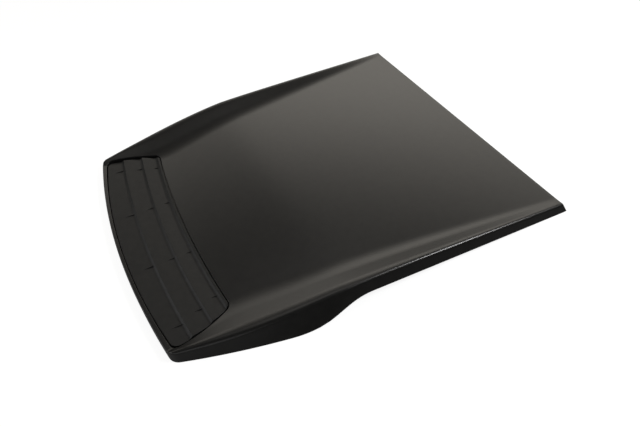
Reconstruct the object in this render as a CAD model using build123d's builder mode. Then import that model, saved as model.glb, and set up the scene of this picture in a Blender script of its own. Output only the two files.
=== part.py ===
import os
from collections import namedtuple
from math import atan2, ceil, degrees, sqrt, tan

from build123d import *

# Millimetres, +Z up, front edge towards -Y. The panel stands on Z = 0.
# A station is a distance behind the front edge, taken on the centre line.

# Skin of the panel
wall = 3.0                  # top skin, measured upright
skirt_wall = 3.4            # skirt, measured level

# Plan of the skirt: at its foot on the ground, and at a level above the whole panel
Plan = namedtuple("Plan", "front front_half bend bend_half rear rear_half")
length = 938.0
skirt_level = 60.0
rear_lean = 24.0            # how far the rear skirt leans forward up to that level
foot_plan = Plan(0.0, 320.0, 316.0, 397.0, length, 403.5)
level_plan = Plan(2.0, 313.5, 399.0, 360.5, length - rear_lean, 368.0)
front_bow = 31.0            # how far the front edge runs ahead of its corners
flank_bow = 6.5             # bulge of the flank between front corner and lobe
corner_radius = 26.0
bend_radius = 240.0

# Lower edge of the skirt, seen from the side
lobe_end = 300.0            # where the edge leaves the ground behind the lobe
arch_station = 407.0        # where it is highest, before it falls back to the rear corner
arch_height = 26.4
lobe_radius = 150.0
arch_radius = 190.0

# Top of the panel: a dished field between two rails, each a chain of straight runs and soft bends
Knot = namedtuple("Knot", "station value softness")
field_run = (Knot(0.0, 23.2, 0.0), Knot(160.0, 15.7, 40.0), Knot(374.0, 35.5, 50.0), Knot(length, 16.1, 0.0))
rise_run = (Knot(0.0, 4.3, 0.0), Knot(165.0, 19.35, 40.0), Knot(480.0, 16.6, 160.0), Knot(length, 1.4, 0.0))
rail_run = (Knot(0.0, 309.5, 0.0), Knot(295.0, 351.4, 60.0), Knot(length, 388.7, 0.0))
slope_run = (Knot(0.0, 4.0, 0.0), Knot(22.0, 4.0, 16.0), Knot(175.0, 71.6, 40.0), Knot(length, 15.5, 0.0))
foot_softness = 0.42        # share of the rail's slope taken by the round at its foot
rail_softness = 0.14        # share taken by the round at its top
form_spacing = 49.0         # distance between the stations of the top form
form_overrun = 20.0         # how far the top form runs past the panel all round
form_half = foot_plan.rear_half + form_overrun
form_base = -30.0           # underside of the top form, below the panel

# Louvre insert at the front, in plan
insert_front = 10.0         # station of its front edge on the centre line
insert_rim = 14.0           # half width left beside the insert's front corners
insert_front_half = foot_plan.front_half - insert_rim
insert_front_bow = 33.0
insert_rear = 154.0
insert_taper = 40.0         # how much the ends draw in towards the rear
insert_rear_half = insert_front_half - insert_taper
insert_rear_bow = 16.0
insert_end_bow = 7.0        # bulge of the ends
insert_corner_radius = 15.0
insert_wall = 2.2
insert_gap = 3.0            # open joint between insert and panel

# Treads of the insert: each falls towards the rear, then turns up to the next crest
Tread = namedtuple("Tread", "crest_station crest_height")
front_height = 22.2
treads = (Tread(63.5, 21.4), Tread(110.5, 19.9), Tread(149.0, 18.2))
tread_fall = 4.6            # height of the riser
riser_run = 6.0
valley_radius = 9.0
ridge_radius = 2250.0       # the ridges curve across the car about a far centre
ridge_sweep = degrees(atan2(form_half, ridge_radius))

# Fins on the treads
fin_thickness = 2.0
fin_length = 24.0
fin_gap = 5.0               # the fin ends this far ahead of the ridge
fin_drop = 1.2              # and this far below it
fin_inner_half = 88.0
fin_inset = 47.0            # outer fins of the front tread, from the insert's front corners
fin_step = 16.0             # further in on each tread behind

# Tray in the panel that carries the insert
tray_wall = 2.4
tray_floor = 8.0            # the insert stands on this level
tray_thickness = 2.5
ledge = 13.0                # width of the floor left round the tray's window

# Stake pins that hold the insert in the tray
pin_radius = 2.0
pin_clearance = 0.2
pin_head_radius = 3.6
pin_head = 1.8
pin_half = 200.0

# Screw towers and ribs under the field
tower_half = 240.0
tower_front = 330.0
tower_inset = 138.0         # rear towers, ahead of the rear edge
tower_rear = length - tower_inset
tower_level = 6.0           # the towers end here, above the ground
tower_width = 14.0
pilot_radius = 2.25
pilot_depth = 9.0
rib_thickness = 2.0
rib_level = 9.5             # the ribs end here
rib_front = 190.0
rib_inset = 23.0            # rear end of the long ribs, ahead of the rear edge
rib_rear = length - rib_inset


def along(station):
    return station - length / 2


def value_at(station, run):
    value = run[0].value
    slope = 0.0
    for knot, following in zip(run, run[1:]):
        past = station - knot.station
        next_slope = (following.value - knot.value) / (following.station - knot.station)
        if knot is run[0]:
            value += next_slope * past
        else:
            value += (next_slope - slope) * (past + sqrt(past**2 + knot.softness**2)) / 2
        slope = next_slope
    return value


def ridge_station(index, across):
    reach = ridge_radius + treads[0].crest_station
    return reach - sqrt((reach - treads[index].crest_station) ** 2 - across**2)


def bowed_station(middle, bow, half, across):
    return middle + bow * (across / half) ** 2


def skirt_sketch(plan, level, inset):
    corner = (plan.front_half, along(plan.front + front_bow))
    bend = (plan.bend_half, along(plan.bend))
    rear = (plan.rear_half, along(plan.rear))
    with BuildSketch(Plane.XY.offset(level)) as outline:
        with BuildLine():
            ThreePointArc((-corner[0], corner[1]), (0, along(plan.front)), corner)
            SagittaArc(corner, bend, -flank_bow)
            Line(bend, rear)
            Line(rear, (-rear[0], rear[1]))
            Line((-rear[0], rear[1]), (-bend[0], bend[1]))
            SagittaArc((-bend[0], bend[1]), (-corner[0], corner[1]), -flank_bow)
        make_face()
        fillet(outline.vertices().sort_by(Axis.Y)[0:2], corner_radius)
        fillet(outline.vertices().filter_by_position(Axis.Y, bend[1] - 1, bend[1] + 1), bend_radius)
        if inset:
            offset(amount=-inset, kind=Kind.INTERSECTION, mode=Mode.REPLACE)
    return outline.sketch


def top_sketch(station):
    field = value_at(station, field_run)
    rail = field + value_at(station, rise_run)
    rail_half = value_at(station, rail_run)
    slope_width = value_at(station, slope_run)
    foot_half = rail_half - slope_width
    half_turn = tan(atan2(rail - field, slope_width) / 2)
    foot_round = foot_softness * slope_width / half_turn
    rail_round = rail_softness * slope_width / half_turn
    with BuildSketch(Plane.XZ.offset(-along(station))) as profile:
        with BuildLine():
            FilletPolyline(
                (-form_half, form_base),
                (-form_half, rail),
                (-rail_half, rail),
                (-foot_half, field),
                (foot_half, field),
                (rail_half, rail),
                (form_half, rail),
                (form_half, form_base),
                radius=(0, 0, rail_round, foot_round, foot_round, rail_round, 0, 0),
                close=True,
            )
        make_face()
    return profile.sketch


def insert_sketch(level, growth):
    slant = insert_taper / (insert_rear + insert_rear_bow - insert_front - insert_front_bow)
    middle_front = along(insert_front - growth)
    middle_rear = along(insert_rear + growth)
    front = (insert_front_half + growth * (1 + slant), middle_front + insert_front_bow)
    rear = (insert_rear_half + growth * (1 - slant), middle_rear + insert_rear_bow)
    with BuildSketch(Plane.XY.offset(level)) as outline:
        with BuildLine():
            ThreePointArc((-front[0], front[1]), (0, middle_front), front)
            SagittaArc(front, rear, -insert_end_bow)
            ThreePointArc(rear, (0, middle_rear), (-rear[0], rear[1]))
            SagittaArc((-rear[0], rear[1]), (-front[0], front[1]), -insert_end_bow)
        make_face()
        fillet(outline.vertices(), insert_corner_radius + growth)
    return outline.sketch


station_count = ceil((length + 2 * form_overrun) / form_spacing)
form_step = (length + 2 * form_overrun) / station_count
stations = [form_step * index - form_overrun for index in range(station_count + 1)]

pin_places = []
for across in (-pin_half, pin_half):
    front_edge = bowed_station(insert_front, insert_front_bow, insert_front_half, across)
    rear_edge = bowed_station(insert_rear, insert_rear_bow, insert_rear_half, across)
    pin_places.append((across, along(front_edge + ledge / 2)))
    pin_places.append((across, along(rear_edge - ledge / 2)))

tower_middle = along((tower_front + tower_rear) / 2)
rib_columns = (-tower_half, 0, tower_half)
rib_rows = (along(tower_front), tower_middle, along(tower_rear))
rib_middle = along((rib_front + rib_rear) / 2)

# Everything under the top of the panel
with BuildPart() as top_form:
    loft([top_sketch(station) for station in stations])

# Space inside the shell, and the ribs across it
with BuildPart() as hollow:
    hollow_foot = skirt_sketch(foot_plan, 0, skirt_wall)
    hollow_level = skirt_sketch(level_plan, skirt_level, skirt_wall)
    loft([hollow_foot, hollow_level], ruled=True)
    add(top_form.part.moved(Location((0, 0, -wall))), mode=Mode.INTERSECT)

with BuildPart() as ribs:
    with BuildSketch(Plane.XY.offset(rib_level)):
        with Locations([(across, rib_middle) for across in rib_columns]):
            Rectangle(rib_thickness, rib_rear - rib_front)
        with Locations([(0, row) for row in rib_rows]):
            Rectangle(2 * form_half, rib_thickness)
    extrude(amount=skirt_level)
    add(hollow.part, mode=Mode.INTERSECT)

with BuildPart() as towers:
    with BuildSketch(Plane.XY.offset(tower_level)):
        with Locations((0, tower_middle)):
            with GridLocations(2 * tower_half, tower_rear - tower_front, 2, 2):
                Rectangle(tower_width, tower_width)
    extrude(amount=skirt_level)
    add(top_form.part.moved(Location((0, 0, -wall / 2))), mode=Mode.INTERSECT)

with BuildPart() as tray:
    extrude(insert_sketch(tray_floor - tray_thickness, insert_gap + tray_wall), amount=skirt_level)
    add(top_form.part.moved(Location((0, 0, -wall / 2))), mode=Mode.INTERSECT)

with BuildPart() as outer_panel:
    loft([skirt_sketch(foot_plan, 0, 0), skirt_sketch(level_plan, skirt_level, 0)], ruled=True)
    add(top_form.part, mode=Mode.INTERSECT)
    add(hollow.part, mode=Mode.SUBTRACT)
    # The skirt's lower edge lifts off the ground behind the lobe
    with BuildSketch(Plane.YZ):
        with BuildLine():
            FilletPolyline(
                (along(0), form_base),
                (along(0), 0),
                (along(lobe_end), 0),
                (along(arch_station), arch_height),
                (along(length), 0),
                (along(length), form_base),
                radius=(0, 0, lobe_radius, arch_radius, 0, 0),
                close=True,
            )
        make_face()
    extrude(amount=form_half, both=True, mode=Mode.SUBTRACT)
    # Tray with its pocket, window and pin holes
    add(tray.part)
    extrude(insert_sketch(tray_floor, insert_gap), amount=skirt_level, mode=Mode.SUBTRACT)
    extrude(insert_sketch(0, -ledge), amount=skirt_level, mode=Mode.SUBTRACT)
    with BuildSketch():
        with Locations(pin_places):
            Circle(pin_radius + pin_clearance)
    extrude(amount=tray_floor, mode=Mode.SUBTRACT)
    # Ribs and screw towers
    add(ribs.part)
    add(towers.part)
    with BuildSketch(Plane.XY.offset(tower_level)):
        with Locations((0, tower_middle)):
            with GridLocations(2 * tower_half, tower_rear - tower_front, 2, 2):
                Circle(pilot_radius)
    extrude(amount=pilot_depth, mode=Mode.SUBTRACT)

# Stepped body of the insert, swept about the far centre of its ridges
with BuildPart() as louvre_form:
    step_points = [(along(insert_front - insert_gap), tray_floor)]
    step_points.append((along(insert_front - insert_gap), front_height))
    for tread in treads:
        step_points.append((along(tread.crest_station - riser_run), tread.crest_height - tread_fall))
        step_points.append((along(tread.crest_station), tread.crest_height))
    step_points.append((along(insert_rear + insert_gap), treads[-1].crest_height))
    step_points.append((along(insert_rear + insert_gap), tray_floor))
    step_rounds = [0, 0] + [valley_radius, 0] * len(treads) + [0, 0]
    with BuildSketch(Plane.YZ):
        with BuildLine():
            FilletPolyline(*step_points, radius=step_rounds, close=True)
        make_face()
    ridge_axis = Axis((0, along(treads[0].crest_station + ridge_radius), 0), (0, 0, 1))
    revolve(axis=ridge_axis, revolution_arc=ridge_sweep)
    mirror(about=Plane.YZ)

with BuildPart() as insert_hollow:
    add(louvre_form.part.moved(Location((0, 0, -insert_wall))))
    extrude(insert_sketch(0, -insert_wall), amount=skirt_level, mode=Mode.INTERSECT)

# Stake pins: shank up to the tread, shank through the tray floor, head below it
with BuildPart() as pins:
    with BuildSketch(Plane.XY.offset(tray_floor)):
        with Locations(pin_places):
            Circle(pin_radius)
    extrude(amount=skirt_level)
    add(louvre_form.part.moved(Location((0, 0, -insert_wall / 2))), mode=Mode.INTERSECT)
    with BuildSketch(Plane.XY.offset(tray_floor - tray_thickness)):
        with Locations(pin_places):
            Circle(pin_radius)
    extrude(amount=tray_thickness)
    with BuildSketch(Plane.XY.offset(tray_floor - tray_thickness - pin_head)):
        with Locations(pin_places):
            Circle(pin_head_radius)
    extrude(amount=pin_head)

with BuildPart() as louvre_insert:
    extrude(insert_sketch(tray_floor, 0), amount=skirt_level)
    add(louvre_form.part, mode=Mode.INTERSECT)
    add(insert_hollow.part, mode=Mode.SUBTRACT)
    # Fins, rising to the ridge behind them
    for index, tread in enumerate(treads):
        fin_outer = insert_front_half - fin_inset - index * fin_step
        fin_root = tread.crest_height - tread_fall - insert_wall / 2
        for across in (-fin_outer, -fin_inner_half, fin_inner_half, fin_outer):
            fin_rear = along(ridge_station(index, across) - fin_gap)
            with BuildSketch(Plane.YZ.offset(across)):
                with BuildLine():
                    Polyline(
                        (fin_rear - fin_length, fin_root),
                        (fin_rear, tread.crest_height - fin_drop),
                        (fin_rear, fin_root),
                        close=True,
                    )
                make_face()
            extrude(amount=fin_thickness / 2, both=True)
    add(pins.part)

os.makedirs("parts", exist_ok=True)
outer_panel.part.label = "outer_panel"
export_step(outer_panel.part, "parts/outer_panel.step")
louvre_insert.part.label = "louvre_insert"
export_step(louvre_insert.part, "parts/louvre_insert.step")
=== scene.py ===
from math import atan2, cos, hypot, pi, radians, sin, sqrt, tan

import bpy
from mathutils import Matrix, Vector


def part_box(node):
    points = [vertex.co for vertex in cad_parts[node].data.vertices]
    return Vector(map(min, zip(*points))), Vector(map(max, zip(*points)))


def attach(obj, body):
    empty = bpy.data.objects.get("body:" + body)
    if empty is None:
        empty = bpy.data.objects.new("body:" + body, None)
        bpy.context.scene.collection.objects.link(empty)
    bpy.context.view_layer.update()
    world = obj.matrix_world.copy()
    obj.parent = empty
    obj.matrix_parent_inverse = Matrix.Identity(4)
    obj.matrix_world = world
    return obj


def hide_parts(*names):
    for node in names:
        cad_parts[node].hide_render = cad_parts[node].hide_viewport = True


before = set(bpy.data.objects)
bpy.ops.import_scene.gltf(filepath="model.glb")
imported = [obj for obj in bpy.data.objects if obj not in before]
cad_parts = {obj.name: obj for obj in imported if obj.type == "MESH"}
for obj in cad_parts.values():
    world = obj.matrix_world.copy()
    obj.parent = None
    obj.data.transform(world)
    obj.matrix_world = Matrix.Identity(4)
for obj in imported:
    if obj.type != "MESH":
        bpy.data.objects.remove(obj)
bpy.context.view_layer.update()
panelLow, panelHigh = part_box("outer_panel")
mm = 0.001
length = (panelHigh.y - panelLow.y) / mm
print("frame loaded, panel", round(length), "mm long")

# Lengths below are millimetres. A station is a distance behind the front edge.


def place(across, station, height):
    return Vector((across * mm, panelLow.y + station * mm, height * mm))


def mix(start, end, share):
    return start + (end - start) * share


# Plain geometry for the outlines

def arcPiece(centre, start, end):
    turnStart = atan2(start[1] - centre[1], start[0] - centre[0])
    turn = atan2(end[1] - centre[1], end[0] - centre[0]) - turnStart
    turn = (turn + pi) % (2 * pi) - pi
    radius = hypot(start[0] - centre[0], start[1] - centre[1])

    def point(share):
        angle = turnStart + turn * share
        return (centre[0] + radius * cos(angle), centre[1] + radius * sin(angle))
    return point


def linePiece(start, end):
    def point(share):
        return (mix(start[0], end[0], share), mix(start[1], end[1], share))
    return point


def cornerPiece(start, corner, end):
    def point(share):
        into, out = linePiece(start, corner)(share), linePiece(corner, end)(share)
        return linePiece(into, out)(share)
    return point


def bowCentre(start, end, bow):
    # centre of the arc from start to end that bulges to the right of the way
    wayX, wayY = end[0] - start[0], end[1] - start[1]
    chord = hypot(wayX, wayY)
    radius = (chord * chord / 4 + bow * bow) / (2 * bow)
    back = (radius - bow) / chord
    middle = ((start[0] + end[0]) / 2, (start[1] + end[1]) / 2)
    return (middle[0] - wayY * back, middle[1] + wayX * back), radius


def circlesMeet(first, firstRadius, second, secondRadius, near):
    apartX, apartY = second[0] - first[0], second[1] - first[1]
    apart = hypot(apartX, apartY)
    reach = (apart * apart + firstRadius ** 2 - secondRadius ** 2) / (2 * apart)
    rise = sqrt(firstRadius ** 2 - reach ** 2)
    meets = []
    for side in (-1, 1):
        x = first[0] + (apartX * reach - side * apartY * rise) / apart
        y = first[1] + (apartY * reach + side * apartX * rise) / apart
        meets.append((hypot(x - near[0], y - near[1]), (x, y)))
    return min(meets)[1]


def towards(start, end, distance):
    share = distance / hypot(end[0] - start[0], end[1] - start[1])
    return linePiece(start, end)(share)


# Panel

panelShape = {
    "skin": 3.0,
    "skirtLevel": 60.0,  # the skirt is ruled between the outline at its foot and one at this height
    "footPlan": {"front": 0.0, "frontHalf": 320.0, "bend": 316.0, "bendHalf": 397.0,
                 "rear": length, "rearHalf": 403.5},
    "levelPlan": {"front": 2.0, "frontHalf": 313.5, "bend": 399.0, "bendHalf": 360.5,
                  "rear": length - 24.0, "rearHalf": 368.0},
    "frontBow": 31.0,
    "flankBow": 6.5,
    "cornerRadius": 26.0,
    "bendRadius": 240.0,
    "rearCornerReach": 2.0,
    # dished field, rail height, rail half width and slope width: station, value, softness
    "fieldRun": ((0.0, 23.2, 0.0), (160.0, 15.7, 40.0), (374.0, 35.5, 50.0), (length, 16.1, 0.0)),
    "riseRun": ((0.0, 4.3, 0.0), (165.0, 19.35, 40.0), (480.0, 16.6, 160.0), (length, 1.4, 0.0)),
    "railRun": ((0.0, 309.5, 0.0), (295.0, 351.4, 60.0), (length, 388.7, 0.0)),
    "slopeRun": ((0.0, 4.0, 0.0), (22.0, 4.0, 16.0), (175.0, 71.6, 40.0), (length, 15.5, 0.0)),
    "footSoftness": 0.42,
    "railSoftness": 0.14,
    # lower edge of the skirt
    "lobeEnd": 300.0,
    "archStation": 407.0,
    "archHeight": 26.4,
    "lobeRadius": 380.0,
    "archRadius": 190.0,
    # rounded edges
    "crestRun": ((0.0, 6.0, 0.0), (130.0, 10.0, 30.0), (430.0, 4.5, 40.0), (length, 4.5, 0.0)),
    "frontRound": 3.2,
    "rearRound": 1.8,
    "pocketRound": 0.9,
    "lowerRound": 0.35,
    # mesh
    "innerColumns": 40,
    "slopeColumns": 24,
    "columnLead": 1.45,  # above 1, columns close up towards the rail
    "rimRows": 5,
    "pocketRows": 26,
    "fieldRows": 100,
    "roundSteps": 8,
    "skirtSteps": 8,
    "meetRounds": 40,
    "cornerInset": 9.0,  # at the front edge the inner columns end this far inside the pocket's corner
    "rearSlopeShare": 1.42,  # at the rear edge they end this many slope widths inside the rail
    "sideLead": 10.0,  # rows beside the pocket start and end this far behind its corners
    "sideTrail": 14.0,
    "rearEase": 0.1,  # share of the field's rows that bend into the rear edge
    "skinLimit": 1.8,  # longest way through the skin, in thicknesses
    "traySlack": 0.2,  # leeway in finding the underside of the tray
    "smoothAngle": 40.0,
}


def valueAt(station, run):
    # straight from knot to knot, each turn eased by the knot's softness
    value, slope = run[0][1], 0.0
    for index in range(len(run) - 1):
        start, startValue, softness = run[index]
        past = station - start
        nextSlope = (run[index + 1][1] - startValue) / (run[index + 1][0] - start)
        if index == 0:
            value += nextSlope * past
        else:
            value += (nextSlope - slope) * (past + sqrt(past * past + softness * softness)) / 2
        slope = nextSlope
    return value


def topHeight(across, station):
    # flat field, rounded foot, slope, rounded shoulder, flat rail
    across = abs(across)
    field = valueAt(station, panelShape["fieldRun"])
    rise = valueAt(station, panelShape["riseRun"])
    railHalf = valueAt(station, panelShape["railRun"])
    run = valueAt(station, panelShape["slopeRun"])
    footHalf = railHalf - run
    turn = atan2(rise, run)
    footReach = panelShape["footSoftness"] * run
    railReach = panelShape["railSoftness"] * run
    footRadius = footReach / tan(turn / 2)
    railRadius = railReach / tan(turn / 2)
    if across <= footHalf - footReach:
        return field
    if across <= footHalf + footReach * cos(turn):
        return field + footRadius - sqrt(footRadius ** 2 - (across - footHalf + footReach) ** 2)
    if across <= railHalf - railReach * cos(turn):
        return field + (across - footHalf) * rise / run
    if across <= railHalf + railReach:
        return field + rise - railRadius + sqrt(railRadius ** 2 - (railHalf + railReach - across) ** 2)
    return field + rise


def lowerEdge(station):
    # level lobe, climb to the arch, long fall to the rear, with both turns rounded
    lobe, arch = panelShape["lobeEnd"], panelShape["archStation"]
    top = panelShape["archHeight"]
    lobeRadius, archRadius = panelShape["lobeRadius"], panelShape["archRadius"]
    climb = atan2(top, arch - lobe)
    fall = atan2(top, length - arch)
    lobeReach = lobeRadius * tan(climb / 2)
    archReach = archRadius * tan((climb + fall) / 2)
    if station <= lobe - lobeReach:
        return 0.0
    if station <= lobe + lobeReach * cos(climb):
        return lobeRadius - sqrt(lobeRadius ** 2 - (station - lobe + lobeReach) ** 2)
    if station <= arch - archReach * cos(climb):
        return (station - lobe) * tan(climb)
    if station <= arch + archReach * cos(fall):
        centre = arch - archReach * cos(climb) + archRadius * sin(climb)
        level = top - archReach * sin(climb) - archRadius * cos(climb)
        return level + sqrt(archRadius ** 2 - (station - centre) ** 2)
    return max(0.0, (length - station) * tan(fall))


def skirtPieces(plan):
    # right half, from the middle of the front edge round to the middle of the rear edge
    front, frontHalf, bow = plan["front"], plan["frontHalf"], panelShape["frontBow"]
    corner = (frontHalf, front + bow)
    bend = (plan["bendHalf"], plan["bend"])
    rear = (plan["rearHalf"], plan["rear"])
    frontRadius = (frontHalf ** 2 + bow ** 2) / (2 * bow)
    frontCentre = (0.0, front + frontRadius)
    flankCentre, flankRadius = bowCentre(corner, bend, panelShape["flankBow"])
    small = panelShape["cornerRadius"]
    smallCentre = circlesMeet(frontCentre, frontRadius - small, flankCentre, flankRadius - small, corner)
    large = panelShape["bendRadius"]
    # the side line stands in as a circle so large that it is straight
    sideX, sideY = rear[0] - bend[0], rear[1] - bend[1]
    side = hypot(sideX, sideY)
    far = 1.0e7
    sideCentre = (bend[0] - sideY / side * far, bend[1] + sideX / side * far)
    largeCentre = circlesMeet(sideCentre, far - large, flankCentre, flankRadius - large, bend)
    frontEnd = towards(smallCentre, frontCentre, -small)
    flankStart = towards(smallCentre, flankCentre, -small)
    flankEnd = towards(largeCentre, flankCentre, -large)
    sideStart = towards(largeCentre, sideCentre, -large)
    sideEnd = towards(rear, bend, panelShape["rearCornerReach"])
    rearStart = towards(rear, (0.0, rear[1]), panelShape["rearCornerReach"])
    return [
        arcPiece(frontCentre, (0.0, front), frontEnd),
        arcPiece(smallCentre, frontEnd, flankStart),
        arcPiece(flankCentre, flankStart, flankEnd),
        arcPiece(largeCentre, flankEnd, sideStart),
        linePiece(sideStart, sideEnd),
        cornerPiece(sideEnd, rear, rearStart),
        linePiece(rearStart, (0.0, rear[1])),
    ]


footPieces = skirtPieces(panelShape["footPlan"])
levelPieces = skirtPieces(panelShape["levelPlan"])


def skirtPoint(spot, height):
    piece, share = spot
    foot, level = footPieces[piece](share), levelPieces[piece](share)
    lift = height / panelShape["skirtLevel"]
    return (mix(foot[0], level[0], lift), mix(foot[1], level[1], lift))


def skirtMeet(spot, heightLaw):
    # height at which the leaning wall meets a surface, closer with each round
    height = 0.0
    for _ in range(panelShape["meetRounds"]):
        across, station = skirtPoint(spot, height)
        height = heightLaw(across, station)
    return height


def spotsBetween(stretches, measure, targets):
    # spots on the outline where the measure, across or station, takes the wanted values
    tableSteps = 80
    table = []
    for piece, start, end in stretches:
        for index in range(tableSteps + 1):
            spot = (piece, mix(start, end, index / tableSteps))
            table.append((measure(spot), spot))
    spots = []
    low = 0
    for target in targets:
        while low < len(table) - 2 and table[low + 1][0] < target:
            low += 1
        (before, first), (after, second) = table[low], table[low + 1]
        if first[0] != second[0]:
            spots.append(second)
            continue
        share = (target - before) / (after - before) if after > before else 0.0
        spots.append((first[0], mix(first[1], second[1], min(max(share, 0.0), 1.0))))
    return spots


# Louvre insert, in plan

insertShape = {
    "front": 10.0,
    "frontHalf": 306.0,
    "frontBow": 33.0,
    "rear": 154.0,
    "taper": 40.0,
    "rearBow": 16.0,
    "endBow": 7.0,
    "cornerRadius": 15.0,
    "wall": 2.2,
    "gap": 3.0,
    "frontGap": 1.5,
    "endGap": 5.5,
    "ledge": 13.0,
    "trayFloor": 8.0,
    "trayThickness": 2.5,
    # treads: station and height of each crest
    "frontHeight": 22.2,
    "treads": ((63.5, 21.4), (110.5, 19.9), (149.0, 18.2)),
    "treadFall": 4.6,
    "riserRun": 6.0,
    "valleyRadius": 9.0,
    "crestRadius": 0.8,
    "ridgeRadius": 2250.0,
    "edgeRound": 0.8,
    # mesh
    "columns": 96,
    "columnLead": 1.25,
    "rowSpacing": 7.0,
    "valleySteps": 8,
    "crestSteps": 5,
    "edgeSteps": 4,
    "easeRows": 8,  # rows that ease from the front edge into the first tread
    "easeInset": 8.0,  # how far ahead of its riser they end
    "rearMargin": 0.15,  # least room between the last tread row and the rear corners
    "smoothAngle": 30.0,
}


def insertPieces(growth):
    # right half, from the middle of the front edge round to the middle of the rear edge
    frontBow, rearBow = insertShape["frontBow"], insertShape["rearBow"]
    taper = insertShape["taper"]
    slant = taper / (insertShape["rear"] + rearBow - insertShape["front"] - frontBow)
    inside = growth <= 0
    # the insert itself is a little shorter at its ends, and its pocket a little narrower in front
    shortening = insertShape["endGap"] - insertShape["gap"] if inside else 0.0
    front = insertShape["front"] - growth + (0.0 if inside else insertShape["gap"] - insertShape["frontGap"])
    rear = insertShape["rear"] + growth
    frontHalf = insertShape["frontHalf"] + growth * (1 + slant) - shortening
    rearHalf = insertShape["frontHalf"] - taper + growth * (1 - slant) - shortening
    frontCorner, rearCorner = (frontHalf, front + frontBow), (rearHalf, rear + rearBow)
    frontRadius = (frontHalf ** 2 + frontBow ** 2) / (2 * frontBow)
    rearRadius = (rearHalf ** 2 + rearBow ** 2) / (2 * rearBow)
    frontCentre, rearCentre = (0.0, front + frontRadius), (0.0, rear + rearRadius)
    endCentre, endRadius = bowCentre(frontCorner, rearCorner, insertShape["endBow"])
    small = insertShape["cornerRadius"] + growth
    nearCentre = circlesMeet(frontCentre, frontRadius - small, endCentre, endRadius - small, frontCorner)
    farCentre = circlesMeet(rearCentre, rearRadius + small, endCentre, endRadius - small, rearCorner)
    frontEnd = towards(nearCentre, frontCentre, -small)
    endStart = towards(nearCentre, endCentre, -small)
    endEnd = towards(farCentre, endCentre, -small)
    rearStart = towards(farCentre, rearCentre, small)
    return [
        arcPiece(frontCentre, (0.0, front), frontEnd),
        arcPiece(nearCentre, frontEnd, endStart),
        arcPiece(endCentre, endStart, endEnd),
        arcPiece(farCentre, endEnd, rearStart),
        arcPiece(rearCentre, rearStart, (0.0, rear)),
    ]


# A spot is a piece of an outline and a share of it. Front, side and rear meet at the middles of the corners.

panelWays = {
    "corner": (1, 0.5),
    "rearCorner": (5, 0.5),
    "front": [(0, 0.0, 1.0), (1, 0.0, 0.5)],
    "side": [(1, 0.5, 1.0), (2, 0.0, 1.0), (3, 0.0, 1.0), (4, 0.0, 1.0), (5, 0.0, 0.5)],
    "rear": [(6, 1.0, 0.0), (5, 1.0, 0.5)],
}
insertWays = {
    "corner": (1, 0.5),
    "rearCorner": (3, 0.5),
    "front": [(0, 0.0, 1.0), (1, 0.0, 0.5)],
    "side": [(1, 0.5, 1.0), (2, 0.0, 1.0), (3, 0.0, 0.5)],
    "rear": [(4, 1.0, 0.0), (3, 1.0, 0.5)],
}
centreLimit = 1e-6


def pointAt(pieces, spot):
    return pieces[spot[0]](spot[1])


def plainStation(across, station):
    return station


def outlineSpots(ways, pointOf, along, frontTargets, sideTargets, rearTargets):
    # front and rear by half width, side by the measure along it
    def acrossAt(spot):
        return pointOf(spot)[0]

    def alongAt(spot):
        return along(*pointOf(spot))

    front = spotsBetween(ways["front"], acrossAt, frontTargets)
    side = spotsBetween(ways["side"], alongAt, sideTargets)
    rear = spotsBetween(ways["rear"], acrossAt, rearTargets)
    front[-1] = side[0] = ways["corner"]
    rear[-1] = side[-1] = ways["rearCorner"]
    return front, side, rear


def ringOf(front, side, rear):
    return front + side[1:] + rear[:-1]


def sidesOf(across):
    # a spot on the centre line has no mirror image
    return (1,) if across < centreLimit else (1, -1)


def gradedShares(count, lead):
    # from 0 to 1, closer together towards 1
    even = [index / count for index in range(count + 1)]
    return [share * (lead - (lead - 1) * share) for share in even]


# Mesh helpers

def deselectAll():
    if bpy.context.object and bpy.context.object.mode != "OBJECT":
        bpy.ops.object.mode_set(mode="OBJECT")
    bpy.ops.object.select_all(action="DESELECT")


def addGrid(name, columns, rows):
    deselectAll()
    bpy.ops.mesh.primitive_grid_add(x_subdivisions=columns, y_subdivisions=rows, size=1.0)
    piece = bpy.context.object
    piece.name = piece.data.name = name
    return piece


def layGrid(name, half, rows, plan, heightLaw):
    # mirrored about the centre line, laid row by row from front to rear
    piece = addGrid(name, 2 * half, rows)
    perRow = 2 * half + 1
    for row in range(rows + 1):
        for column in range(-half, half + 1):
            across, station = plan(row, abs(column))
            side = -1 if column < 0 else 1
            vertex = piece.data.vertices[row * perRow + column + half]
            vertex.co = place(side * across, station, heightLaw(across, station))
    return piece


def removePiece(piece):
    deselectAll()
    piece.select_set(True)
    bpy.ops.object.delete()


def joinPieces(name, copies):
    deselectAll()
    for copy in copies:
        copy.select_set(True)
    bpy.context.view_layer.objects.active = copies[0]
    bpy.ops.object.join()
    piece = bpy.context.object
    piece.name = piece.data.name = name
    return piece


def clearSelection(kind):
    bpy.ops.object.mode_set(mode="EDIT")
    bpy.ops.mesh.select_mode(type=kind)
    bpy.ops.mesh.select_all(action="DESELECT")
    bpy.ops.object.mode_set(mode="OBJECT")


def selectFaces(piece, wanted):
    clearSelection("FACE")
    for polygon in piece.data.polygons:
        polygon.select = wanted(polygon)


def spotKey(point):
    return (round(point[0], 7), round(point[1], 7), round(point[2], 7))


def selectEdges(piece, keys):
    clearSelection("EDGE")
    on = [spotKey(vertex.co) in keys for vertex in piece.data.vertices]
    for edge in piece.data.edges:
        edge.select = on[edge.vertices[0]] and on[edge.vertices[1]]


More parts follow.
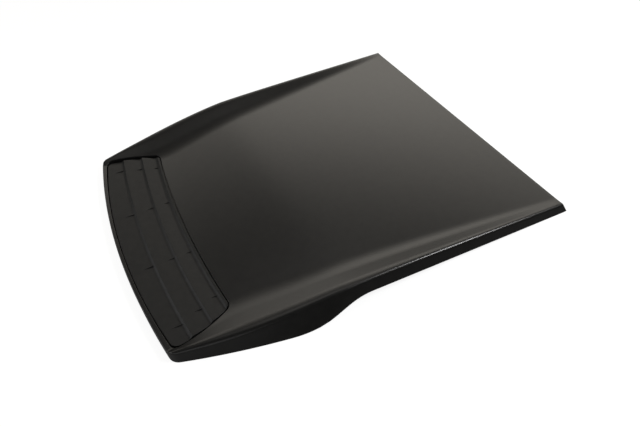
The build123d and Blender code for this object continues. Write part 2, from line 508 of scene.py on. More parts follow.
def growEdge(piece, chains):
    # extrudes an open edge again and again, laying each new line on the next places of its chains
    ahead = {spotKey(start): chain for start, chain in chains}
    for vertex in piece.data.vertices:
        vertex.select = spotKey(vertex.co) in ahead
    chosen = {vertex.index for vertex in piece.data.vertices if vertex.select}
    shared = {}
    for polygon in piece.data.polygons:
        polygon.select = False
        for key in polygon.edge_keys:
            shared[key] = shared.get(key, 0) + 1
    for edge in piece.data.edges:
        edge.select = set(edge.vertices) <= chosen and shared.get(edge.key, 0) == 1
    for step in range(len(chains[0][1])):
        bpy.ops.object.mode_set(mode="EDIT")
        bpy.ops.mesh.select_mode(type="EDGE")
        bpy.ops.mesh.extrude_edges_move()
        bpy.ops.object.mode_set(mode="OBJECT")
        following = {}
        for vertex in piece.data.vertices:
            if vertex.select:
                chain = ahead[spotKey(vertex.co)]
                vertex.co = chain[step]
                following[spotKey(vertex.co)] = chain
        ahead = following


def roundOver(start, corner, end, steps):
    places = []
    for index in range(1, steps + 1):
        share = index / steps
        places.append(start.lerp(corner, share).lerp(corner.lerp(end, share), share))
    return places


def wallChain(start, foot, heightLaw, edgeRound, side):
    # from an open edge over a rounded corner and down a wall to the tray's floor
    height, floor = heightLaw(*foot), insertShape["trayFloor"]
    edge = place(side * start[0], start[1], heightLaw(*start))
    levels = (height, height - edgeRound, mix(height, floor, 0.5), floor)
    corner, wallTop, *wall = [place(side * foot[0], foot[1], level) for level in levels]
    return edge, roundOver(edge, corner, wallTop, insertShape["edgeSteps"]) + wall


def applyModifier(piece, kind, **settings):
    bpy.ops.object.modifier_add(type=kind)
    modifier = piece.modifiers[-1]
    for name, value in settings.items():
        setattr(modifier, name, value)
    bpy.ops.object.modifier_apply(modifier=modifier.name)


def thicken(piece, wall):
    applyModifier(piece, "SOLIDIFY", thickness=wall * mm, offset=-1.0, use_even_offset=True,
                  use_quality_normals=True)


def turnOutwards(piece):
    bpy.ops.object.mode_set(mode="EDIT")
    bpy.ops.mesh.select_all(action="SELECT")
    bpy.ops.mesh.normals_make_consistent(inside=False)
    bpy.ops.object.mode_set(mode="OBJECT")


def smoothShading(shape):
    bpy.ops.object.shade_smooth_by_angle(angle=radians(shape["smoothAngle"]))


# Panel shell: a grid laid on the top, its pocket cut out, its edges grown into skirt and tray

pocketEdge = insertPieces(insertShape["gap"])
pocketRim = insertPieces(insertShape["gap"] + panelShape["pocketRound"])
trayWindow = insertPieces(-insertShape["ledge"])
pocketCorner = pointAt(pocketRim, insertWays["corner"])
pocketRear = pointAt(pocketRim, insertWays["rearCorner"])
besideStart = pocketCorner[1] + panelShape["sideLead"]
besideEnd = pocketRear[1] + panelShape["sideTrail"]
columnShares = gradedShares(panelShape["innerColumns"], panelShape["columnLead"])


def rimPoint(spot):
    return pointAt(pocketRim, spot)


def crestHeight(spot):
    return skirtMeet(spot, topHeight)


def crestPoint(spot):
    return skirtPoint(spot, crestHeight(spot))


def crestInside(spot):
    # crest moved in by the reach of its rounded edge, and that reach
    piece, share = spot
    nudge = 0.01
    start = crestPoint((piece, max(share - nudge, 0.0)))
    end = crestPoint((piece, min(share + nudge, 1.0)))
    wayX, wayY = end[0] - start[0], end[1] - start[1]
    way = hypot(wayX, wayY)
    across, station = crestPoint(spot)
    # the reach changes over along the corners, piece 1 in front and piece 5 behind
    frontShare = {0: 1.0, 1: 1.0 - share}.get(piece, 0.0)
    rearShare = {5: share, 6: 1.0}.get(piece, 0.0)
    reach = mix(valueAt(station, panelShape["crestRun"]), panelShape["frontRound"], frontShare)
    reach = mix(reach, panelShape["rearRound"], rearShare)
    return (across - wayY / way * reach, station + wayX / way * reach), reach


def crestSpots():
    shape = panelShape
    outer = shape["slopeColumns"]
    rim, pocket, field = shape["rimRows"], shape["pocketRows"], shape["fieldRows"]
    corner, rearCorner = crestPoint(panelWays["corner"]), crestPoint(panelWays["rearCorner"])

    def halfWidths(reach, end):
        slope = [mix(reach, end, index / outer) for index in range(1, outer + 1)]
        return [reach * share for share in columnShares] + slope

    frontReach = pocketCorner[0] - shape["cornerInset"]
    rearSlope = valueAt(length, shape["slopeRun"]) * shape["rearSlopeShare"]
    rearReach = valueAt(length, shape["railRun"]) - rearSlope
    stations = [mix(corner[1], besideStart, index / rim) for index in range(rim)]
    stations += [mix(besideStart, besideEnd, index / pocket) for index in range(pocket)]
    stations += [mix(besideEnd, rearCorner[1], index / field) for index in range(field + 1)]
    return outlineSpots(panelWays, crestPoint, plainStation, halfWidths(frontReach, corner[0]),
                        stations, halfWidths(rearReach, rearCorner[0]))


def rimSpots():
    rows = panelShape["pocketRows"]
    stations = [mix(pocketCorner[1], pocketRear[1], index / rows) for index in range(rows + 1)]
    frontWidths = [pocketCorner[0] * share for share in columnShares]
    rearWidths = [pocketRear[0] * share for share in columnShares]
    return outlineSpots(insertWays, rimPoint, plainStation, frontWidths, stations, rearWidths)


def panelPlan(crest, rim):
    # place in plan by row and column, for the right half: column 0 is the centre line
    shape = panelShape
    inner, outer = shape["innerColumns"], shape["slopeColumns"]
    half = inner + outer
    pocketStart = shape["rimRows"]
    pocketEnd = pocketStart + shape["pocketRows"]
    lastRow = pocketEnd + shape["fieldRows"]
    frontLine, sideLine, rearLine = [[crestInside(spot)[0] for spot in spots] for spots in crest]
    holeFront, holeSide, holeBack = [[rimPoint(spot) for spot in spots] for spots in rim]

    def beforePocket(row, column):
        share = row / pocketStart
        if column <= inner:
            return linePiece(frontLine[column], holeFront[column])(share)
        # patch between four lines at the corner
        aside = (column - inner) / outer
        left = linePiece(frontLine[inner], holeFront[inner])(share)
        bottom = linePiece(frontLine[inner], frontLine[half])(aside)
        top = linePiece(holeFront[inner], sideLine[pocketStart])(aside)
        across = linePiece(left, sideLine[row])(aside)
        upright = linePiece(frontLine[column], top)(share)
        flat = linePiece(bottom, top)(share)
        return (across[0] + upright[0] - flat[0], across[1] + upright[1] - flat[1])

    def besidePocket(row, column):
        edge = holeSide[row - pocketStart]
        if column <= inner:
            return linePiece((0.0, edge[1]), edge)(column / inner)
        return linePiece(edge, sideLine[row])((column - inner) / outer)

    def behindPocket(row, column):
        share = (row - pocketEnd) / shape["fieldRows"]
        if column <= inner:
            return linePiece(holeBack[column], rearLine[column])(share)
        aside = (column - inner) / outer
        spine = linePiece(holeBack[inner], rearLine[inner])(share)
        spread = linePiece(spine, sideLine[row])(aside)
        # the last rows ease into the rear edge
        ease = max(0.0, share - (1 - shape["rearEase"])) / shape["rearEase"]
        chord = mix(rearLine[inner][1], rearLine[half][1], aside)
        return (spread[0], spread[1] + (rearLine[column][1] - chord) * ease)

    def plan(row, column):
        if row == lastRow:
            return rearLine[column]
        if row == pocketStart and column <= inner:
            return holeFront[column]
        if row == pocketEnd and column <= inner:
            return holeBack[column]
        if row <= pocketStart:
            return beforePocket(row, column)
        if row <= pocketEnd:
            return besidePocket(row, column)
        return behindPocket(row, column)

    return plan


def cutPocket(piece):
    inner, outer = panelShape["innerColumns"], panelShape["slopeColumns"]
    pocketStart = panelShape["rimRows"]

    def inPocket(polygon):
        row, column = divmod(polygon.index, 2 * (inner + outer))
        return (pocketStart <= row < pocketStart + panelShape["pocketRows"]
                and outer <= column < outer + 2 * inner)

    selectFaces(piece, inPocket)
    bpy.ops.object.mode_set(mode="EDIT")
    bpy.ops.mesh.delete(type="FACE")
    bpy.ops.object.mode_set(mode="OBJECT")


def skirtPlace(spot, level, side):
    across, station = skirtPoint(spot, level)
    return place(side * across, station, level)


def growSkirt(piece, spots):
    # rounded crest, then the ruled wall down to the lower edge, whose places are returned
    steps = panelShape["skirtSteps"]
    chains = []
    for spot in spots:
        start, reach = crestInside(spot)
        height = crestHeight(spot)
        low = skirtMeet(spot, lambda across, station: lowerEdge(station))
        levels = [height, height - reach]
        levels += [mix(height - reach, low, step / steps) for step in range(1, steps + 1)]
        for side in sidesOf(crestPoint(spot)[0]):
            edge = place(side * start[0], start[1], topHeight(*start))
            corner, wallTop, *wall = [skirtPlace(spot, level, side) for level in levels]
            chains.append((edge, roundOver(edge, corner, wallTop, panelShape["roundSteps"]) + wall))
    growEdge(piece, chains)
    return {spotKey(chain[-1]) for _, chain in chains}


def growTray(piece, spots):
    # rounded pocket edge, wall, and the ledge that carries the insert
    floor = insertShape["trayFloor"]
    chains = []
    for spot in spots:
        start, foot, ledge = rimPoint(spot), pointAt(pocketEdge, spot), pointAt(trayWindow, spot)
        middle = linePiece(foot, ledge)(0.5)
        for side in sidesOf(start[0]):
            edge, chain = wallChain(start, foot, topHeight, panelShape["pocketRound"], side)
            chain += [place(side * across, station, floor) for across, station in (middle, ledge)]
            chains.append((edge, chain))
    growEdge(piece, chains)


def thickenPanel(piece):
    skin = panelShape["skin"]
    outerCount = len(piece.data.vertices)
    outward = [vertex.normal.copy() for vertex in piece.data.vertices]
    thicken(piece, skin)
    # at the sharp rear corners the even thickness would shoot out, so it is held there
    for index in range(outerCount):
        outside, inside = piece.data.vertices[index], piece.data.vertices[outerCount + index]
        if (inside.co - outside.co).length > panelShape["skinLimit"] * skin * mm:
            inside.co = outside.co - outward[index] * skin * mm
    # nothing hangs below the lower edge, and the tray is thinner than the skin
    trayBottom = (insertShape["trayFloor"] - insertShape["trayThickness"]) * mm
    skinBottom = (insertShape["trayFloor"] - skin - panelShape["traySlack"]) * mm
    for vertex in piece.data.vertices:
        station = (vertex.co.y - panelLow.y) / mm
        vertex.co.z = max(vertex.co.z, lowerEdge(station) * mm)
        if skinBottom < vertex.co.z < trayBottom and station < besideEnd:
            vertex.co.z = trayBottom


def makePanelShell():
    shape = panelShape
    crest, rim = crestSpots(), rimSpots()
    half = shape["innerColumns"] + shape["slopeColumns"]
    rows = shape["rimRows"] + shape["pocketRows"] + shape["fieldRows"]
    piece = layGrid("panel_shell", half, rows, panelPlan(crest, rim), topHeight)
    cutPocket(piece)
    lowerLine = growSkirt(piece, ringOf(*crest))
    growTray(piece, ringOf(*rim))
    turnOutwards(piece)
    thickenPanel(piece)
    selectEdges(piece, lowerLine)
    bpy.ops.object.mode_set(mode="EDIT")
    bpy.ops.mesh.bevel(offset=shape["lowerRound"] * mm, segments=2, affect="EDGES")
    bpy.ops.object.mode_set(mode="OBJECT")
    smoothShading(shape)
    print("panel shell", len(piece.data.polygons), "faces")
    return piece


panelShell = makePanelShell()


# Louvre insert: a grid whose rows follow the treads, its edge grown into the side walls

def treadProfile():
    # station and height of every row on the centre line
    shape = insertShape
    points = [(shape["front"] - shape["gap"], shape["frontHeight"], 0.0, 0)]
    for station, height in shape["treads"]:
        points.append((station - shape["riserRun"], height - shape["treadFall"],
                       shape["valleyRadius"], shape["valleySteps"]))
        points.append((station, height, shape["crestRadius"], shape["crestSteps"]))
    points.append((shape["rear"] + 2 * shape["gap"], shape["treads"][-1][1], 0.0, 0))
    rows = [points[0][:2]]
    for before, here, after in zip(points, points[1:], points[2:]):
        corner, (radius, steps) = here[:2], here[2:]
        turnIn = atan2(here[1] - before[1], here[0] - before[0])
        turnOut = atan2(after[1] - here[1], after[0] - here[0])
        reach = radius * tan(abs(turnOut - turnIn) / 2)
        start, end = towards(corner, before[:2], reach), towards(corner, after[:2], reach)
        last = rows[-1]
        filler = max(1, int((start[0] - last[0]) / shape["rowSpacing"]))
        rows += [linePiece(last, start)(index / filler) for index in range(1, filler)]
        rows += [cornerPiece(start, corner, end)(index / steps) for index in range(steps + 1)]
    rows.append(points[-1][:2])
    return rows


profile = treadProfile()
ridgeCentre = insertShape["treads"][0][0] + insertShape["ridgeRadius"]


def ridgeStation(across, station):
    return ridgeCentre - hypot(across, ridgeCentre - station)


def stationOf(across, ridge):
    return ridgeCentre - sqrt((ridgeCentre - ridge) ** 2 - across ** 2)


def treadHeight(across, station):
    ridge = ridgeStation(across, station)
    for (start, low), (end, high) in zip(profile, profile[1:]):
        if ridge <= end:
            return mix(low, high, (ridge - start) / (end - start))
    return profile[-1][1]


def makeInsert():
    shape = insertShape
    edge, outline = insertPieces(-shape["edgeRound"]), insertPieces(0.0)

    def edgePoint(spot):
        return pointAt(edge, spot)

    half, eased = shape["columns"] // 2, shape["easeRows"]
    shares = gradedShares(half, shape["columnLead"])
    nearCorner, farCorner = edgePoint(insertWays["corner"]), edgePoint(insertWays["rearCorner"])
    nearRidge, farRidge = ridgeStation(*nearCorner), ridgeStation(*farCorner)
    # the first rows ease from the front edge into the treads, and the others follow the treads
    easeEnd = shape["treads"][0][0] - shape["riserRun"] - shape["easeInset"]
    lastRidge = min(shape["treads"][-1][0] + shape["crestRadius"], farRidge - shape["rearMargin"])
    body = [ridge for ridge, _ in profile if easeEnd <= ridge <= lastRidge]
    ridges = [mix(nearRidge, body[0], index / eased) for index in range(eased)] + body + [farRidge]
    rows = len(ridges) - 1
    frontWidths = [nearCorner[0] * share for share in shares]
    rearWidths = [farCorner[0] * share for share in shares]
    spots = outlineSpots(insertWays, edgePoint, ridgeStation, frontWidths, ridges, rearWidths)
    frontLine, sideLine, rearLine = [[edgePoint(spot) for spot in part] for part in spots]

    def plan(row, column):
        front, end = frontLine[column], sideLine[row]
        if row == 0:
            return front
        if row == rows:
            return rearLine[column]
        if column == half:
            return end
        ease = max(0.0, 1.0 - row / eased)
        across = end[0] * shares[column] + (front[0] - frontWidths[column]) * ease
        ridge = ridges[row] + (ridgeStation(*front) - nearRidge) * ease
        return (across, stationOf(across, ridge))

    piece = layGrid("louvre_tray", half, rows, plan, treadHeight)
    chains = []
    for spot in ringOf(*spots):
        start, foot = edgePoint(spot), pointAt(outline, spot)
        for side in sidesOf(start[0]):
            chains.append(wallChain(start, foot, treadHeight, shape["edgeRound"], side))
    growEdge(piece, chains)
    turnOutwards(piece)
    thicken(piece, shape["wall"])
    for vertex in piece.data.vertices:
        vertex.co.z = max(vertex.co.z, shape["trayFloor"] * mm)
    smoothShading(shape)
    print("louvre insert", len(piece.data.polygons), "faces")
    return piece


louvreInsert = makeInsert()

# Fins on the treads, modelled once and copied

finShape = {
    "thickness": 2.0,
    "length": 24.0,
    "gap": 5.0,
    "drop": 2.2,
    "frontDrop": 2.4,
    "innerHalf": 88.0,
    "outerInset": 47.0,
    "step": 16.0,
    "edgeRound": 0.85,
    "smoothAngle": 30.0,
}


def makeFins():
    shape = finShape
    root = insertShape["treadFall"] + insertShape["wall"] / 2
    deselectAll()
    bpy.ops.mesh.primitive_cube_add(size=1.0)
    first = bpy.context.object
    first.name = first.data.name = "louvre_fins"
    for vertex in first.data.vertices:
        rear, top = vertex.co.y > 0, vertex.co.z > 0
        drop = shape["drop"] if rear else shape["frontDrop"]
        vertex.co.x *= shape["thickness"] * mm
        vertex.co.y = 0.0 if rear else -shape["length"] * mm
        vertex.co.z = -(drop if top else root) * mm
    applyModifier(first, "BEVEL", width=shape["edgeRound"] * mm, segments=4, limit_method="NONE")
    copies = []
    for index, (station, height) in enumerate(insertShape["treads"]):
        outerHalf = insertShape["frontHalf"] - shape["outerInset"] - index * shape["step"]
        for across in (-outerHalf, -shape["innerHalf"], shape["innerHalf"], outerHalf):
            copy = first.copy()
            copy.data = first.data.copy()
            bpy.context.collection.objects.link(copy)
            for vertex in copy.data.vertices:
                vertex.co += place(across, stationOf(across, station) - shape["gap"], height)
            copies.append(copy)
    removePiece(first)
    piece = joinPieces("louvre_fins", copies)
    smoothShading(shape)
    print("fins", len(copies))
    return piece


louvreFins = makeFins()

# Underside: ribs, screw towers and the insert's staked pins

undersideShape = {
    "ribThickness": 2.0,
    "ribLevel": 9.5,
    "ribFront": 190.0,
    "ribInset": 23.0,
    "ribSteps": 60,
    # ends of a cross rib lift clear of the skirt's arch: share of the half width, and over how much
    "ribEaseStart": 0.8,
    "ribEase": 0.15,
    "towerHalf": 240.0,
    "towerFront": 330.0,
    "towerInset": 138.0,
    "towerLevel": 6.0,
    "towerWidth": 14.0,
    "towerRound": 0.8,
    "pilotRadius": 2.25,
    "pilotDepth": 9.0,
    "rootDepth": 1.0,
    "pinRadius": 2.0,
    "pinHeadRadius": 3.6,
    "pinHead": 1.8,
    "pinRound": 0.3,
    "pinHalf": 200.0,
    "roundSides": 32,
    "smoothAngle": 40.0,
}
towerStations = (undersideShape["towerFront"], length - undersideShape["towerInset"])


def skinUnderside(across, station):
    return topHeight(across, station) - panelShape["skin"] + undersideShape["rootDepth"]


def skirtHalf(station, height):
    def stationAt(spot):
        return skirtPoint(spot, height)[1]
    way = [(2, 0.0, 1.0), (3, 0.0, 1.0), (4, 0.0, 1.0)]
    return skirtPoint(spotsBetween(way, stationAt, [station])[0], height)[0]


def addCylinder(radius, depth, location=(0.0, 0.0, 0.0)):
    deselectAll()
    bpy.ops.mesh.primitive_cylinder_add(vertices=undersideShape["roundSides"], radius=radius * mm,
                                        depth=depth * mm, location=location)
    return bpy.context.object


def addRib(lower, upper):
    piece = addGrid("rib", len(lower) - 1, 1)
    for vertex, point in zip(piece.data.vertices, lower + upper):
        vertex.co = point
    applyModifier(piece, "SOLIDIFY", thickness=undersideShape["ribThickness"] * mm, offset=0.0)
    turnOutwards(piece)
    return piece


def makeRibs():
    shape = undersideShape
    low, steps = shape["ribLevel"], shape["ribSteps"]
    shares = [index / steps for index in range(steps + 1)]
    ribs = []
    for across in (-shape["towerHalf"], 0.0, shape["towerHalf"]):
        stations = [mix(shape["ribFront"], length - shape["ribInset"], share) for share in shares]
        ribs.append(addRib([place(across, station, low) for station in stations],
                           [place(across, station, skinUnderside(across, station)) for station in stations]))
    inset = panelShape["skin"] - shape["rootDepth"] / 2
    for station in (towerStations[0], sum(towerStations) / 2, towerStations[1]):
        lowerReach = skirtHalf(station, low) - inset
        upperReach = skirtHalf(station, topHeight(lowerReach, station)) - inset
        clearance = max(0.0, lowerEdge(station) + shape["rootDepth"] - low)
        lower, upper = [], []
        for share in shares:
            aside = 2 * share - 1
            ease = min(max((abs(aside) - shape["ribEaseStart"]) / shape["ribEase"], 0.0), 1.0)
            lift = clearance * ease * ease * (3 - 2 * ease)
            lower.append(place(aside * mix(lowerReach, upperReach, ease), station, low + lift))
            across = aside * upperReach
            upper.append(place(across, station, skinUnderside(across, station)))
        ribs.append(addRib(lower, upper))
    piece = joinPieces("underside_ribs", ribs)
    print("ribs", len(ribs))
    return piece


def makeTowers():
    shape = undersideShape
    towers = []
    for across in (-shape["towerHalf"], shape["towerHalf"]):
        for station in towerStations:
            top = skinUnderside(across, station)
            pilot = addCylinder(shape["pilotRadius"], 2 * shape["pilotDepth"],
                                place(across, station, shape["towerLevel"]))
            deselectAll()
            bpy.ops.mesh.primitive_cube_add(size=1.0)
            tower = bpy.context.object
            for vertex in tower.data.vertices:
                vertex.co.x *= shape["towerWidth"] * mm
                vertex.co.y *= shape["towerWidth"] * mm
                vertex.co.z = (shape["towerLevel"] if vertex.co.z < 0 else top) * mm
                vertex.co += place(across, station, 0.0)
            applyModifier(tower, "BEVEL", width=shape["towerRound"] * mm, segments=3, limit_method="ANGLE")
            applyModifier(tower, "BOOLEAN", object=pilot, operation="DIFFERENCE", solver="EXACT")
            removePiece(pilot)
            towers.append(tower)
    piece = joinPieces("screw_towers", towers)
    smoothShading(shape)
    print("towers", len(towers))
    return piece


def facesUp(polygon):
    return polygon.normal.z > 0.9


def makePins():
    shape = undersideShape
    headTop = insertShape["trayFloor"] - insertShape["trayThickness"]
    rearHalf = insertShape["frontHalf"] - insertShape["taper"]
    pins = []
    for across in (-shape["pinHalf"], shape["pinHalf"]):
        front = insertShape["front"] + insertShape["frontBow"] * (across / insertShape["frontHalf"]) ** 2
        rear = insertShape["rear"] + insertShape["rearBow"] * (across / rearHalf) ** 2
        for station in (front + insertShape["ledge"] / 2, rear - insertShape["ledge"] / 2):
            pin = addCylinder(shape["pinHeadRadius"], shape["pinHead"])
            shank = treadHeight(across, station) - insertShape["wall"] / 2 - headTop
            selectFaces(pin, facesUp)
            bpy.ops.object.mode_set(mode="EDIT")
            bpy.ops.mesh.inset(thickness=(shape["pinHeadRadius"] - shape["pinRadius"]) * mm)
            bpy.ops.mesh.extrude_region_move(TRANSFORM_OT_translate={"value": (0.0, 0.0, shank * mm)})
            bpy.ops.object.mode_set(mode="OBJECT")
            for vertex in pin.data.vertices:
                vertex.co += place(across, station, headTop - shape["pinHead"] / 2)
            applyModifier(pin, "BEVEL", width=shape["pinRound"] * mm, segments=2, limit_method="ANGLE")
            pins.append(pin)
    piece = joinPieces("staked_pins", pins)
    smoothShading(shape)
    print("pins", len(pins))
    return piece


undersideRibs = makeRibs()
screwTowers = makeTowers()
stakedPins = makePins()

# Materials

finishes = {
    "panelPlastic": {
        "dark": (0.006, 0.006, 0.0061),
        "light": (0.0090, 0.0089, 0.0088),
        "roughness": (0.285, 0.302),
        "specular": 0.48,
        "clouds": {"scale": 60.0, "detail": 4.0},
        "sheen": {"scale": 140.0, "detail": 3.0},
        "grain": {"scale": 1500.0, "detail": 2.0},
        "grainDepth": 0.00006,
        "grainStrength": 0.06,
    },
    "insertPlastic": {
        "dark": (0.008, 0.008, 0.0081),
        "light": (0.012, 0.012, 0.0119),
        "roughness": (0.45, 0.51),
        "specular": 0.28,
        "clouds": {"scale": 60.0, "detail": 4.0},
        "sheen": {"scale": 140.0, "detail": 3.0},
        "grain": {"scale": 1000.0, "detail": 2.0},
        "grainDepth": 0.00012,
        "grainStrength": 0.35,
    },
}
noiseLow, noiseHigh = 0.3, 0.7  # the noise seldom leaves this range


def makePlastic(name):
    finish = finishes[name]
    material = bpy.data.materials.new(name)
    material.use_nodes = True
    nodes, links = material.node_tree.nodes, material.node_tree.links
    shader = nodes["Principled BSDF"]
    shader.inputs["Specular IOR Level"].default_value = finish["specular"]
    coordinates = nodes.new("ShaderNodeTexCoord").outputs["Object"]

    def noise(scale, detail):
        texture = nodes.new("ShaderNodeTexNoise")
        texture.inputs["Scale"].default_value = scale
        texture.inputs["Detail"].default_value = detail
        links.new(coordinates, texture.inputs["Vector"])
        return texture.outputs["Fac"]

    # cloudy tone of moulded plastic
    tone = nodes.new("ShaderNodeValToRGB")
    stops = ((noiseLow, finish["dark"]), (noiseHigh, finish["light"]))
    for element, (position, colour) in zip(tone.color_ramp.elements, stops):
        element.position = position
        element.color = (*colour, 1.0)
    links.new(noise(**finish["clouds"]), tone.inputs["Fac"])
    links.new(tone.outputs["Color"], shader.inputs["Base Color"])
    # sheen that varies a little from place to place
    sheen = nodes.new("ShaderNodeMapRange")
    sheen.inputs["From Min"].default_value = noiseLow
    sheen.inputs["From Max"].default_value = noiseHigh
    sheen.inputs["To Min"].default_value = finish["roughness"][0]
    sheen.inputs["To Max"].default_value = finish["roughness"][1]
    links.new(noise(**finish["sheen"]), sheen.inputs["Value"])
    links.new(sheen.outputs["Result"], shader.inputs["Roughness"])
    # fine moulded grain
    grain = nodes.new("ShaderNodeBump")
    grain.inputs["Strength"].default_value = finish["grainStrength"]
    grain.inputs["Distance"].default_value = finish["grainDepth"]
    links.new(noise(**finish["grain"]), grain.inputs["Height"])
    links.new(grain.outputs["Normal"], shader.inputs["Normal"])
    return material


panelPlastic = makePlastic("panelPlastic")
insertPlastic = makePlastic("insertPlastic")
dressing = (
    (panelShell, panelPlastic, "panel_plastic"),
    (undersideRibs, panelPlastic, "panel_plastic"),
    (screwTowers, panelPlastic, "panel_plastic"),
    (louvreInsert, insertPlastic, "insert_plastic"),
    (louvreFins, insertPlastic, "insert_plastic"),
    (stakedPins, insertPlastic, "insert_plastic"),
)
for piece, material, slotName in dressing:
    piece.data.materials.clear()
    piece.data.materials.append(material)
    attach(piece, "root")
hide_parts("outer_panel")
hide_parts("louvre_insert")
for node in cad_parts.values():
    node.data.materials.clear()
    node.data.materials.append(insertPlastic if "insert" in node.name else panelPlastic)
print("finishes on", len(dressing), "pieces")

# Floor, light and camera

studio = {
    "floorSize": 30.0,
    "floorTone": 0.2,
    "floorGlow": 0.90,
    "floorInReflections": 0.08,
    "worldTone": 0.06,
    "glow": 3.35,
    "glowRise": 30.4,
    "glowTurn": 39.0,
    "glowHeight": 0.11,
    "glowWidth": 0.74,
    "glowFade": 0.4,
    "glowTint": (1.0, 0.95, 0.86),
    "cameraPlace": (0.8638, -0.3476, 0.8783),
    "cameraRight": (0.46278, 0.88454, -0.06075),
    "cameraForward": (-0.62091, 0.27436, -0.73438),
    "lens": 28.51,
    "sensor": 36.0,
}
lights = {
    "ceiling_softbox": {"size": (1.6, 1.6), "power": 6.0, "colour": (1.0, 0.97, 0.92),
                        "location": (-0.35, 0.20, 2.30), "aim": (-0.35, 0.20, 0.0)},
    "front_softbox": {"size": (3.0, 1.4), "power": 22.0, "colour": (1.0, 1.0, 1.0),
                      "location": (-0.60, -2.60, 1.10), "aim": (0.0, -0.2, 0.0)},
    "side_softbox": {"size": (2.4, 1.2), "power": 8.0, "colour": (1.0, 1.0, 1.0),
                     "location": (2.00, -2.00, 1.10), "aim": (0.0, 0.0, 0.0)},
    "top_lamp": {"size": (0.45, 0.35), "power": 22.0, "colour": (1.0, 1.0, 1.0),
                 "location": (0.96, 1.23, 1.67), "aim": (0.39, 0.22, 0.0)},
}


def makeFloor():
    # matt, pale to the camera and faint in reflections
    deselectAll()
    bpy.ops.mesh.primitive_plane_add(size=studio["floorSize"])
    floor = bpy.context.object
    floor.name = "studio_floor"
    material = bpy.data.materials.new("paleFloor")
    material.use_nodes = True
    nodes, links = material.node_tree.nodes, material.node_tree.links
    nodes.remove(nodes["Principled BSDF"])
    matt = nodes.new("ShaderNodeBsdfDiffuse")
    matt.inputs["Color"].default_value = (studio["floorTone"],) * 3 + (1.0,)
    white = nodes.new("ShaderNodeEmission")
    rays = nodes.new("ShaderNodeLightPath")
    mirrored = nodes.new("ShaderNodeMath")
    mirrored.operation = "MAXIMUM"
    links.new(rays.outputs["Is Glossy Ray"], mirrored.inputs[0])
    links.new(rays.outputs["Is Transmission Ray"], mirrored.inputs[1])
    seen = nodes.new("ShaderNodeMath")
    seen.operation = "MULTIPLY"
    seen.inputs[1].default_value = studio["floorGlow"]
    links.new(rays.outputs["Is Camera Ray"], seen.inputs[0])
    glow = nodes.new("ShaderNodeMath")
    glow.operation = "MULTIPLY_ADD"
    glow.inputs[1].default_value = studio["floorInReflections"]
    links.new(mirrored.outputs[0], glow.inputs[0])
    links.new(seen.outputs[0], glow.inputs[2])
    links.new(glow.outputs[0], white.inputs["Strength"])
    both = nodes.new("ShaderNodeAddShader")
    links.new(matt.outputs[0], both.inputs[0])
    links.new(white.outputs[0], both.inputs[1])
    links.new(both.outputs[0], nodes["Material Output"].inputs["Surface"])
    floor.data.materials.append(material)


def makeLight(name, size, power, colour, location, aim):
    deselectAll()
    bpy.ops.object.light_add(type="AREA", location=location)
    light = bpy.context.object
    light.name = light.data.name = name
    light.data.shape = "RECTANGLE"
    light.data.size, light.data.size_y = size
    light.data.energy = power
    light.data.color = colour
    light.visible_camera = False
    light.rotation_euler = (Vector(aim) - Vector(location)).to_track_quat("-Z", "Y").to_euler()


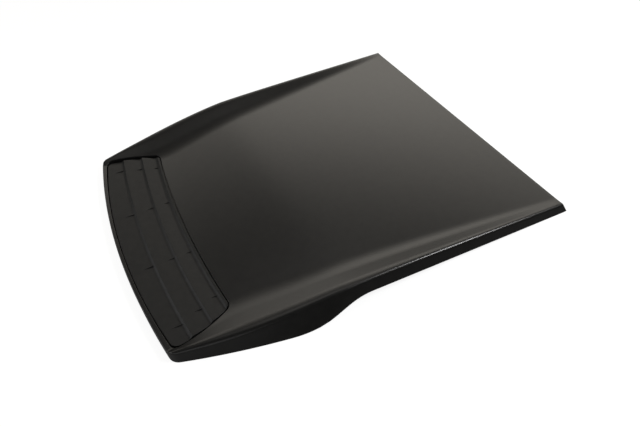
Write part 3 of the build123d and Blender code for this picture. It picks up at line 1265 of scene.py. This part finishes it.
def makeDome():
    # pale to the camera, and for the light a soft glow low behind the far rear corner
    world = bpy.data.worlds.new("studio_dome")
    bpy.context.scene.world = world
    world.use_nodes = True
    nodes, links = world.node_tree.nodes, world.node_tree.links
    direction = nodes.new("ShaderNodeTexCoord").outputs["Generated"]

    def math(operation, first, second):
        step = nodes.new("ShaderNodeMath")
        step.operation = operation
        for socket, value in zip(step.inputs, (first, second)):
            if isinstance(value, float):
                socket.default_value = value
            else:
                links.new(value, socket)
        return step.outputs[0]

    def reach(way):
        dot = nodes.new("ShaderNodeVectorMath")
        dot.operation = "DOT_PRODUCT"
        links.new(direction, dot.inputs[0])
        dot.inputs[1].default_value = way
        return dot.outputs["Value"]

    turn = radians(studio["glowTurn"])
    rise = math("SUBTRACT", reach((0.0, 0.0, 1.0)), sin(radians(studio["glowRise"])))
    rise = math("DIVIDE", rise, studio["glowHeight"])
    aside = math("DIVIDE", reach((sin(turn), cos(turn), 0.0)), studio["glowWidth"])
    fall = math("ADD", math("MULTIPLY", rise, rise), math("MULTIPLY", aside, aside))
    glow = math("EXPONENT", math("MULTIPLY", fall, -1.0), 0.0)
    ahead = nodes.new("ShaderNodeMapRange")
    ahead.interpolation_type = "SMOOTHSTEP"
    ahead.inputs["From Max"].default_value = studio["glowFade"]
    links.new(reach((-cos(turn), sin(turn), 0.0)), ahead.inputs["Value"])
    glow = math("MULTIPLY", math("MULTIPLY", glow, ahead.outputs["Result"]), studio["glow"])
    glow = math("ADD", glow, studio["worldTone"])
    rays = nodes.new("ShaderNodeLightPath")
    tint = nodes.new("ShaderNodeMix")
    tint.data_type = "RGBA"
    links.new(rays.outputs["Is Camera Ray"], tint.inputs["Factor"])
    tint.inputs["A"].default_value = (*studio["glowTint"], 1.0)
    tint.inputs["B"].default_value = (1.0, 1.0, 1.0, 1.0)
    strength = nodes.new("ShaderNodeMix")
    links.new(rays.outputs["Is Camera Ray"], strength.inputs["Factor"])
    links.new(glow, strength.inputs["A"])
    strength.inputs["B"].default_value = 1.0
    links.new(tint.outputs["Result"], nodes["Background"].inputs["Color"])
    links.new(strength.outputs["Result"], nodes["Background"].inputs["Strength"])


def makeCamera():
    bpy.ops.object.camera_add(location=studio["cameraPlace"])
    camera = bpy.context.object
    right = Vector(studio["cameraRight"]).normalized()
    forward = Vector(studio["cameraForward"])
    forward = (forward - right * forward.dot(right)).normalized()
    turn = Matrix((right, right.cross(forward), -forward)).transposed().to_4x4()
    camera.matrix_world = Matrix.Translation(camera.location) @ turn
    camera.data.sensor_fit = "HORIZONTAL"
    camera.data.sensor_width = studio["sensor"]
    camera.data.lens = studio["lens"]
    bpy.context.scene.camera = camera


makeFloor()
makeDome()
for lightName, light in lights.items():
    makeLight(lightName, **light)
makeCamera()
bpy.context.scene.view_settings.view_transform = "Standard"
print("studio ready")
